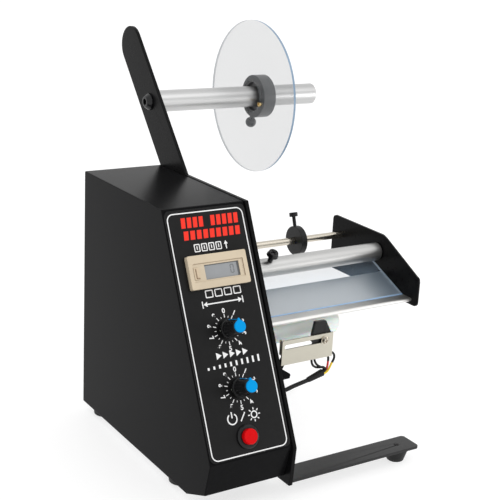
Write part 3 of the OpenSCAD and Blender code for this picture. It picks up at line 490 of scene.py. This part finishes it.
# ------------------------------------------------------------ panel artwork
bm = bmesh.new()
band(bm, rounded(2.0, 2.2, 64.6, 176.6, 5.2), rounded(2.8, 3.0, 63.8, 175.8, 4.4), PP, T0, T1)
for s0 in (90.4, 48.5):
    for i in range(10):
        a = 36.0 * i
        turn = a if (a <= 90 or a >= 270) else a - 180
        ra = math.radians(a)
        digit(bm, str(i), 33.0 + 14.1 * math.sin(ra), s0 + 13.6 * math.cos(ra), 4.8, turn, PP, T0, T1)
        d = (math.sin(ra), math.cos(ra))
        stroke(bm, (33 + 8.6 * d[0], s0 + 8.6 * d[1]), (33 + 11.2 * d[0], s0 + 11.2 * d[1]), 0.62, PP, T0, T1)
        rb = math.radians(a + 18)
        e = (math.sin(rb), math.cos(rb))
        stroke(bm, (33 + 8.6 * e[0], s0 + 8.6 * e[1]), (33 + 9.9 * e[0], s0 + 9.9 * e[1]), 0.42, PP, T0, T1)


def arrow(bm, x0, y0, x1, y1, w=0.7, head=1.8):
    d = Vector((x1 - x0, y1 - y0)).normalized()
    n = Vector((-d.y, d.x))
    t = Vector((x1, y1))
    b = t - d * head
    stroke(bm, (x0, y0), (b.x + d.x * 0.1, b.y + d.y * 0.1), w, PP, T0, T1)
    p = [(b - n * head * 0.62), t, (b + n * head * 0.62)]
    prism(bm, [(q.x, q.y) for q in p], PP, T0, T1)


def outline(bm, x0, y0, x1, y1, r, w):
    band(bm, rounded(x0, y0, x1, y1, r, 4), rounded(x0 + w, y0 + w, x1 - w, y1 - w, max(r - w, 0.15), 4), PP, T0, T1)


# counter symbol: four digit wheels with an up arrow
for i in range(4):
    outline(bm, 19.4 + 5.9 * i, 147.6, 24.2 + 5.9 * i, 153.4, 0.7, 0.75)
    stroke(bm, (21.8 + 5.9 * i, 149.2), (21.8 + 5.9 * i, 151.8), 0.8, PP, T0, T1)
arrow(bm, 45.6, 147.6, 45.6, 153.6, 0.9, 2.6)
# length symbol: labels in a row, and the arrows that measure one
for i in range(4):
    outline(bm, 21.2 + 7.7 * i, 114.4, 27.5 + 7.7 * i, 120.0, 0.8, 0.75)
stroke(bm, (17.6, 107.6), (17.6, 112.6), 0.8, PP, T0, T1)
stroke(bm, (50.6, 107.6), (50.6, 112.6), 0.8, PP, T0, T1)
arrow(bm, 34.1, 110.1, 49.9, 110.1, 0.9, 3.0)
arrow(bm, 34.1, 110.1, 18.3, 110.1, 0.9, 3.0)
# speed symbol: run arrows over rising bars
for i in range(5):
    x = 20.6 + 5.4 * i
    prism(bm, [(x, 70.7), (x + 4.2, 73.2), (x, 75.7)], PP, T0, T1)
for i in range(10):
    stroke(bm, (12.6 + 4.6 * i, 64.5), (12.6 + 4.6 * i, 66.3 + 0.34 * i), 1.5, PP, T0, T1)
# power symbol and lamp symbol
arc_band(bm, 23.6, 28.4, 3.7, 0.9, 34, 326, PP, T0, T1, 30)
stroke(bm, (23.6, 29.0), (23.6, 33.4), 0.95, PP, T0, T1)
arc_band(bm, 41.6, 28.4, 2.3, 0.85, 0, 360, PP, T0, T1, 28)
for i in range(8):
    a = math.radians(45 * i)
    stroke(bm, (41.6 + 3.4 * math.sin(a), 28.4 + 3.4 * math.cos(a)), (41.6 + 5.0 * math.sin(a), 28.4 + 5.0 * math.cos(a)), 0.75, PP, T0, T1)
stroke(bm, (30.2, 25.6), (34.4, 31.4), 0.85, PP, T0, T1)
obj_from(bm, "panel_print", "print_white", "frame", smooth=False)

# red heading: two rows of slanted label tiles
bm = bmesh.new()
for row, (y0, y1, x0, x1, n) in enumerate(((165.4, 172.8, 12.4, 60.6, 10), (156.8, 163.2, 12.8, 60.6, 9))):
    step = (x1 - x0) / n
    for i in range(n):
        if row == 0 and i == 4:
            continue
        a = x0 + step * i
        prism(bm, [(a, y0), (a + step * 0.7, y0), (a + step * 0.7 + 0.7, y1), (a + 0.7, y1)], PP, T0, T1)
obj_from(bm, "heading_tiles", "print_red", "frame", smooth=False)

# --------------------------------------------------------------- counter face
bm = bmesh.new()
# painted shade: a dark band inside the window, along its right and top edges
x0, x1, s0, s1 = 34 - 11.35, 34 + 16.95, 133 - 5.95, 133 + 4.55
prism(bm, [(x1 - 1.5, s0), (x1, s0), (x1, s1), (x1 - 1.5, s1)], PP, 3.66, 3.8)
prism(bm, [(x0, s1 - 0.55), (x1 - 1.55, s1 - 0.55), (x1 - 1.55, s1), (x0, s1)], PP, 3.66, 3.8)
# the figure 0 in bar segments
cx_, cy_ = 45.2, 132.6
hw, hh = 1.25, 2.9
for a, b in (
    ((cx_ - hw, cy_ + 0.25), (cx_ - hw, cy_ + hh - 0.15)), ((cx_ + hw, cy_ + 0.25), (cx_ + hw, cy_ + hh - 0.15)),
    ((cx_ - hw, cy_ - hh + 0.15), (cx_ - hw, cy_ - 0.25)), ((cx_ + hw, cy_ - hh + 0.15), (cx_ + hw, cy_ - 0.25)),
    ((cx_ - hw + 0.25, cy_ + hh), (cx_ + hw - 0.25, cy_ + hh)), ((cx_ - hw + 0.25, cy_ - hh), (cx_ + hw - 0.25, cy_ - hh)),
):
    stroke(bm, a, b, 0.42, PP, 3.66, 3.74)
obj_from(bm, "window_shade_and_segments", "digit_and_shade_dark", "frame", smooth=False)

bm = bmesh.new()
# painted shade in the moulded grooves on the counter face: above the window, and round its right side
stroke(bm, (14.2, 139.0), (54.2, 139.0), 0.28, PP, 5.0, 5.03)
stroke(bm, (54.35, 139.1), (54.35, 126.6), 0.28, PP, 5.0, 5.03)
# painted shadow along the left and bottom edges of the reset key, as a thin raised L
stroke(bm, (15.0, 128.9), (15.0, 135.6), 0.55, PP, 5.2, 5.5)
stroke(bm, (14.8, 128.7), (17.4, 128.7), 0.55, PP, 5.2, 5.5)
obj_from(bm, "counter_shadow_lines", "shade_brown", "frame", smooth=False)

# ------------------------------------------------------------- knob details
for body, s0 in (("length_dial", 90.4), ("speed_dial", 48.5)):
    bm = bmesh.new()
    # thin pointer rib down the barrel

    def KP(x, y, o, s0=s0):
        return PP(33.0 + x, s0 + y, o)

    prof = [(19.0, 4.82), (18.0, 5.0), (14.0, 5.42), (10.0, 5.83), (6.2, 6.24)]
    v = []
    for o, y in prof:
        v.append([bm.verts.new(KP(-0.22, y, o)), bm.verts.new(KP(-0.22, y + 0.42, o)), bm.verts.new(KP(0.22, y + 0.42, o)), bm.verts.new(KP(0.22, y, o))])
    for i in range(len(v) - 1):
        for a in range(4):
            b = (a + 1) % 4
            bm.faces.new((v[i][a], v[i][b], v[i + 1][b], v[i + 1][a]))
    bm.faces.new(v[0])
    bm.faces.new(list(reversed(v[-1])))
    obj_from(bm, body + "_pointer", "blue_plastic", body, smooth=False)
    # fine grip ribs round the barrel
    bm = bmesh.new()
    for i in range(36):
        if i == 0:
            continue
        a = math.radians(10.0 * i)
        c, s = math.cos(a), math.sin(a)
        w = 0.16
        ring = []
        for o, r in ((6.4, 6.2), (17.2, 5.07)):
            for dx, dr in ((-w, -0.1), (0.0, 0.16), (w, -0.1)):
                x, y = s * (r + dr) + c * dx, c * (r + dr) - s * dx
                ring.append(bm.verts.new(KP(x, y, o)))
        for q in ((0, 1, 4, 3), (1, 2, 5, 4), (2, 0, 3, 5)):
            bm.faces.new([ring[j] for j in q])
        bm.faces.new((ring[2], ring[1], ring[0]))
        bm.faces.new((ring[3], ring[4], ring[5]))
    obj_from(bm, body + "_ribs", "black_plastic", body, smooth=False)


# ----------------------------------------------------- knurls and threads
def along(origin, axis):
    z = Vector(axis).normalized()
    x = z.orthogonal().normalized()
    y = z.cross(x)
    o = Vector(origin)
    return lambda r, a, h: o + (x * math.cos(a) + y * math.sin(a)) * r * MM + z * h * MM


def knurl(bm, P, r, h0, h1, n, depth=0.16):
    for i in range(n):
        a0 = 2 * math.pi * i / n
        da = 2 * math.pi / n * 0.32
        ring = []
        for h in (h0, h1):
            for a, rr in ((a0 - da, r - 0.1), (a0, r + depth), (a0 + da, r - 0.1)):
                ring.append(bm.verts.new(P(rr, a, h)))
        for q in ((0, 1, 4, 3), (1, 2, 5, 4), (2, 0, 3, 5)):
            bm.faces.new([ring[j] for j in q])
        bm.faces.new((ring[2], ring[1], ring[0]))
        bm.faces.new((ring[3], ring[4], ring[5]))


def thread(bm, P, r, h0, h1, pitch, depth=0.14):
    """A helical ridge round a shank."""
    n = int((h1 - h0) / pitch * 20)
    rows = []
    for i in range(n + 1):
        a = 2 * math.pi * i / 20
        h = h0 + (h1 - h0) * i / n
        rows.append([bm.verts.new(P(r - 0.05, a, h - pitch * 0.36)), bm.verts.new(P(r + depth, a, h)), bm.verts.new(P(r - 0.05, a, h + pitch * 0.36))])
    for i in range(n):
        for k0, k1 in ((0, 1), (1, 2), (2, 0)):
            bm.faces.new((rows[i][k0], rows[i][k1], rows[i + 1][k1], rows[i + 1][k0]))
    bm.faces.new(rows[0])
    bm.faces.new(list(reversed(rows[-1])))


a18 = math.radians(18.0)
P_edge = along(W(172.0, 154.5, 141.4), (0, math.sin(a18), math.cos(a18)))
bm = bmesh.new()
knurl(bm, P_edge, 3.4, 20.5, 23.6, 26)
obj_from(bm, "edge_screw_knurl", "black_steel", "edge_screw", smooth=False)
bm = bmesh.new()
thread(bm, P_edge, 1.5, 13.6, 20.0, 0.6)
obj_from(bm, "edge_screw_thread", "black_steel", "edge_screw", smooth=False)

a203 = math.radians(203.0)
P_roll = along(W(175.7, 230.0, 252.2), (0, -math.sin(a203), math.cos(a203)))
bm = bmesh.new()
knurl(bm, P_roll, 4.55, 26.2, 27.8, 28, 0.12)
obj_from(bm, "roll_screw_knurl", "black_steel", "roll_screw", smooth=False)

a29 = math.radians(29.0)
P_tube = along(W(110.0, 106.0, 139.6), (0, -math.sin(a29), math.cos(a29)))
bm = bmesh.new()
thread(bm, P_tube, 2.0, 8.4, 13.2, 0.7)
obj_from(bm, "tube_screw_thread", "black_steel", "tube_clamp_screw", smooth=False)

# ------------------------------------------------------------------- leads
WIRES = [
    [(131.6, 66.4, 78.7), (130.9, 66.3, 76), (129.9, 66, 72.5), (131.4, 66.1, 68.2), (134.8, 66.4, 65.6), (138.6, 66.55, 64.7), (141.7, 66.55, 64.4),
     (142.85, 66.55, 63.95), (143.25, 66.55, 62.95), (142.8, 66.55, 61.95), (141.8, 66.55, 61.5), (140.75, 66.55, 61.2), (139.4, 66.55, 60.8)],
    [(134.4, 66.4, 78.7), (133.6, 66.3, 76), (132.8, 66, 72.4), (134.8, 65.6, 68.4), (138, 65, 66), (141.4, 64.65, 64.6),
     (142.85, 64.65, 63.95), (143.25, 64.65, 62.95), (142.8, 64.65, 61.95), (141.8, 64.65, 61.5), (140.75, 64.65, 61.2), (139.4, 64.65, 60.8)],
    [(137.6, 67.4, 78.6), (138.4, 67.4, 76.6), (141.6, 67.3, 75.4), (145, 67, 74.2), (146.8, 66.8, 71.6), (146.8, 66.7, 67.7), (146.4, 66.6, 64),
     (145.3, 66.55, 61.5), (143.8, 66.55, 60.15), (142.3, 66.55, 59.7), (141.25, 66.55, 59.4), (139.9, 66.55, 59)],
    [(140.8, 65.6, 78.6), (141.8, 65.6, 76.9), (145.2, 65.6, 76.3), (149.2, 65.6, 76), (151.5, 65.6, 73.6), (151.6, 65.5, 70.3), (149.2, 65.2, 66.4),
     (147.2, 64.8, 63.4), (145.6, 64.65, 61.3), (143.9, 64.65, 60.15), (142.3, 64.65, 59.7), (141.25, 64.65, 59.4), (139.9, 64.65, 59)],
]
for i, pts in enumerate(WIRES):
    line = crom([W(*p) for p in pts], 8)
    cut = len(line) - 1 if i < 2 else 8 * (4 if i == 2 else 5) + 6
    bm = bmesh.new()
    tube(bm, line[: cut + 1], (0.9 if i < 2 else 0.93) * MM, 14)
    o = obj_from(bm, "sensor_wire_%d" % (i + 1), "black_rubber", "sensor")
    if i == 0:
        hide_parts("sensor_wires")
    if i > 1:
        bm = bmesh.new()
        tube(bm, line[cut - 1:], 0.86 * MM, 14)
        obj_from(bm, "sensor_wire_%d_end" % (i + 1), ("wire_insulation", "yellow_wire")[i - 2], "sensor")
CABLE = [
    (129.3, 65.6, 56.9), (126.2, 65.6, 56), (120.2, 65.6, 54.9), (113, 65.8, 53.4), (106.4, 66, 51.7), (98, 68.2, 50.4),
    (90, 72.6, 49.4), (83, 77.4, 49), (77, 79.6, 49), (72, 80, 49), (66, 80, 49), (56, 80, 49), (44, 79, 49), (30, 78, 50),
    (18, 79, 56), (12, 83, 68), (11.4, 87, 86), (11.4, 92, 104), (11.4, 100, 114), (11.4, 107.6, 122), (11.4, 108, 127.4),
]
bm = bmesh.new()
tube(bm, crom([W(*p) for p in CABLE], 5), 1.7 * MM, 16)
o = obj_from(bm, "sensor_lead", "black_rubber", None)
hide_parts("sensor_cable")
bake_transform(o)
# rings moulded on the sleeve
sa = math.radians(-106.0)
P_slv = along(W(141.0, 65.6, 60.3), (math.sin(sa), 0, math.cos(sa)))
bm = bmesh.new()
for i in range(5):
    h = 2.4 + 2.2 * i
    r = 2.9 + (2.15 - 2.9) * h / 14.0
    rows = []
    for kx in range(24):
        a = 2 * math.pi * kx / 24
        rows.append([bm.verts.new(P_slv(r - 0.15, a, h - 0.45)), bm.verts.new(P_slv(r + 0.12, a, h)), bm.verts.new(P_slv(r - 0.25, a, h + 0.45))])
    for kx in range(24):
        j = (kx + 1) % 24
        for k0, k1 in ((0, 1), (1, 2), (2, 0)):
            bm.faces.new((rows[kx][k0], rows[kx][k1], rows[j][k1], rows[j][k0]))
obj_from(bm, "sleeve_rings", "black_rubber", "sensor")

# ------------------------------------------------------- painted light on clear edges
XR = 221.0  # inner face of the right plate
sa = math.radians(23.03)
sy, sz = math.cos(sa), math.sin(sa)


def SH(x, u, d):
    """A point of the guide sheet: x across, u up its slope from the front edge, d above its top face."""
    return W(x, 69.0 + u * sy - d * sz, 113.3 + u * sz + d * sy)


def block(bm, x0, x1, u0, u1, d0, d1):
    v = [bm.verts.new(SH(x, u, d)) for x in (x0, x1) for u in (u0, u1) for d in (d0, d1)]
    for q in ((0, 1, 3, 2), (4, 6, 7, 5), (0, 4, 5, 1), (2, 3, 7, 6), (0, 2, 6, 4), (1, 5, 7, 3)):
        bm.faces.new([v[j] for j in q])


bm = bmesh.new()
# painted highlight: a blue strip along the sheet's front edge
block(bm, 71.4, XR - 0.4, -0.06, 1.25, -0.3, 0.05)
obj_from(bm, "sheet_front_edge_highlight", "sheet_edge_blue_highlight", "frame", smooth=False)
bm = bmesh.new()
# painted highlight: a strip along the sheet's right edge
block(bm, XR - 0.34, XR - 0.22, 0.1, 55.6, -1.9, -0.1)
obj_from(bm, "sheet_side_edge_highlight", "sheet_edge_pale_highlight", "frame", smooth=False)

# painted highlight and painted reflection on the polished rim of the roll disc: pale from outside, blue-grey where it
# is seen through the disc
bm = bmesh.new()
P_disc = along(W(0.0, 230.0, 252.2), (1, 0, 0))
rows = []
nn = 128
for i in range(nn):
    a = 2 * math.pi * i / nn
    rows.append([bm.verts.new(P_disc(r, a, x)) for r, x in ((65.48, 167.66), (65.53, 167.66), (65.53, 169.54), (65.48, 169.54))])
for i in range(nn):
    j = (i + 1) % nn
    for q in range(4):
        b = (q + 1) % 4
        f = bm.faces.new((rows[i][q], rows[i][b], rows[j][b], rows[j][q]))
        f.material_index = 0 if q == 3 else 1
o = obj_from(bm, "disc_rim_highlight", "rim_pale_highlight", "roll_guide")
o.data.materials.append(M["acrylic_edge_reflection"])

# ------------------------------------------------------------ floor and light
bm = bmesh.new()
bmesh.ops.create_grid(bm, x_segments=1, y_segments=1, size=6.0)
me = bpy.data.meshes.new("floor")
bm.to_mesh(me)
bm.free()
fl = bpy.data.objects.new("floor", me)
fl.location = (0, 0, -0.0002)
bpy.context.scene.collection.objects.link(fl)
k = Mat("floor_white", (0.34, 0.34, 0.34), 0.7)
k.vary(k.noise(3.0, 2.0), 0.004)
k.b.inputs["Emission Color"].default_value = (1.0, 1.0, 1.0, 1.0)
k.b.inputs["Emission Strength"].default_value = 0.7
me.materials.append(k.m)

world = bpy.data.worlds.new("world")
world.use_nodes = True
world.node_tree.nodes["Background"].inputs["Color"].default_value = (1.0, 1.0, 1.0, 1.0)
world.node_tree.nodes["Background"].inputs["Strength"].default_value = 1.0
bpy.context.scene.world = world


def area(name, loc, target, size, power, size_y=None, spread=None):
    d = bpy.data.lights.new(name, "AREA")
    d.shape = "RECTANGLE"
    d.size = size
    d.size_y = size_y or size
    d.energy = power
    if spread:
        d.spread = math.radians(spread)
    o = bpy.data.objects.new(name, d)
    o.location = loc
    o.rotation_euler = (Vector(target) - Vector(loc)).to_track_quat("-Z", "Y").to_euler()
    bpy.context.scene.collection.objects.link(o)
    return o


area("key", (0.5, -0.9, 1.6), (0.0, 0.0, 0.15), 1.2, 4.0)
area("right_low", (1.2, -0.75, 0.14), (0.02, -0.07, 0.09), 0.7, 5.0, 0.3)
area("back_top", (-0.2, 1.1, 1.4), (0.0, 0.0, 0.2), 1.2, 2.0)
